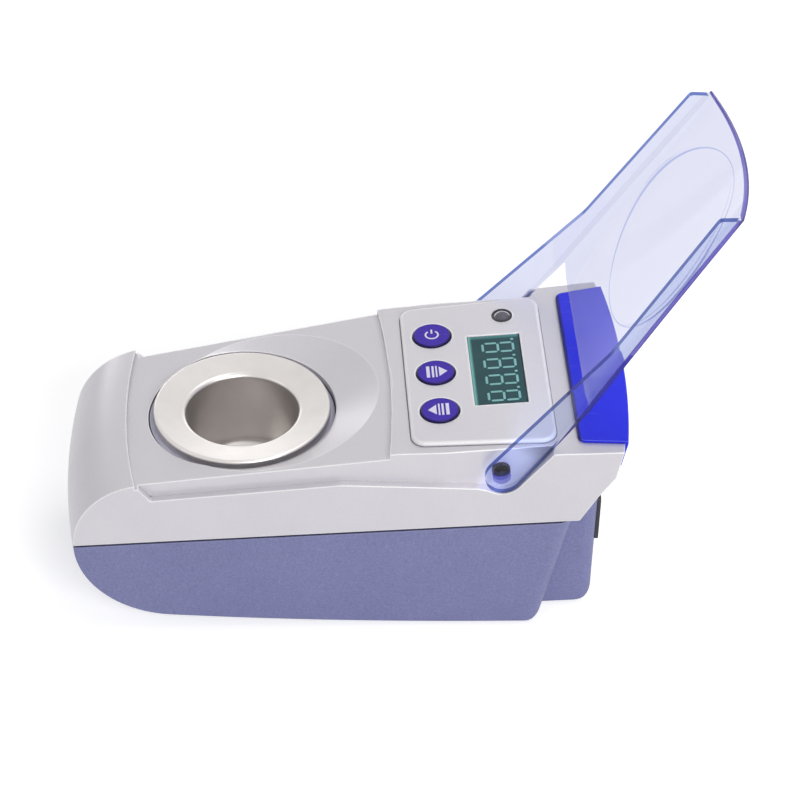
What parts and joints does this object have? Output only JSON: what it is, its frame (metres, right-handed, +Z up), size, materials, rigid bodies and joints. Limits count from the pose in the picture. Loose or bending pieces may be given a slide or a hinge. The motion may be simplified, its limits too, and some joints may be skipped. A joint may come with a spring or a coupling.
{
  "type": "dental lab wax heater",
  "caption": "Bench-top dental wax heater: a round metal wax pot in a silver wedge-shaped housing with a digital panel and a hinged clear blue lid.",
  "frame": {"origin": "on the table, under the middle of the overall length with the lid open, and on the centre line", "axes": "+X along the heater from the wax pot end to the rear end, +Y across it, +Z up from the table"},
  "size_m": [0.185, 0.077, 0.1331],
  "materials": {
    "black_collar": "heat-resisting moulding",
    "black_gloss": "polished",
    "black_plastic": "moulded",
    "board_green": "solder resist",
    "button_blue": "satin",
    "capacitor_black": "shrink sleeve",
    "clear_blue": "polished clear blue acrylic",
    "foot_rubber": "matt",
    "fuse_glass": "clear tube with metal caps",
    "fuse_white": "glazed",
    "lavender_shell": "fine textured moulding",
    "lcd_glass": "polished window over the display",
    "mica_band": "sheathed heater band",
    "panel_grey": "satin",
    "pot_metal": "turned and polished",
    "relay_blue": "moulded",
    "rocker_black": "polished",
    "royal_blue": "polished",
    "screw_steel": "zinc plated",
    "shield_steel": "pressed sheet",
    "silver_shell": "satin silver paint over moulded plastic",
    "sleeve_fibre": "glass fibre",
    "smoke_lens": "polished smoke grey",
    "terminal_green": "moulded",
    "transformer_yellow": "taped winding on a core"
  },
  "bodies": {
    "housing": {"upper_housing": "silver_shell", "lower_housing": "lavender_shell", "rear_trim": "royal_blue", "control_panel": "panel_grey", "lcd_window": "lcd_glass", "lcd_module": "black_plastic", "indicator_bezel": "black_gloss", "indicator_lens": "smoke_lens", "tact_switches": "black_plastic", "main_board": "board_green", "board_parts": "black_plastic", "buzzer": "black_plastic", "board_screws": "screw_steel", "wax_pot": "pot_metal", "insulating_collar": "black_collar", "heat_shield": "shield_steel", "band_heater": "mica_band", "heater_strap": "shield_steel", "strap_screw": "screw_steel", "insulation_sleeve": "sleeve_fibre", "temperature_sensor": "shield_steel", "thermal_fuse": "fuse_white", "power_board": "board_green", "transformer": "transformer_yellow", "relay": "relay_blue", "terminal_block": "terminal_green", "capacitors": "capacitor_black", "line_fuse": "fuse_glass", "switch_case": "black_plastic", "power_inlet": "black_plastic", "rubber_feet": "foot_rubber", "case_screws": "screw_steel"},
    "lid": {"lid": "clear_blue"},
    "button_mode": {"button_mode": "button_blue"},
    "button_up": {"button_up": "button_blue"},
    "button_down": {"button_down": "button_blue"},
    "rocker": {"switch_rocker": "rocker_black"}
  },
  "joints": [
    {"name": "lid_hinge", "type": "hinge", "parent": "housing", "child": "lid", "pos_m": [0.02609, 0, 0.05595], "axis": [0, -1, 0], "range_deg": [0, 131]},
    {"name": "button_mode_press", "type": "slide", "parent": "housing", "child": "button_mode", "axis": [0.033, 0, -0.9995], "range_m": [0, 0.0005], "stiffness_N_per_m": 900, "springref_m": -0.0004},
    {"name": "button_up_press", "type": "slide", "parent": "housing", "child": "button_up", "axis": [0.033, 0, -0.9995], "range_m": [0, 0.0005], "stiffness_N_per_m": 900, "springref_m": -0.0004},
    {"name": "button_down_press", "type": "slide", "parent": "housing", "child": "button_down", "axis": [0.033, 0, -0.9995], "range_m": [0, 0.0005], "stiffness_N_per_m": 900, "springref_m": -0.0004},
    {"name": "rocker_tilt", "type": "hinge", "parent": "housing", "child": "rocker", "pos_m": [0.05126, -0.014, 0.02909], "axis": [0.0401, 0, 0.9992], "range_deg": [0, 16]}
  ]
}
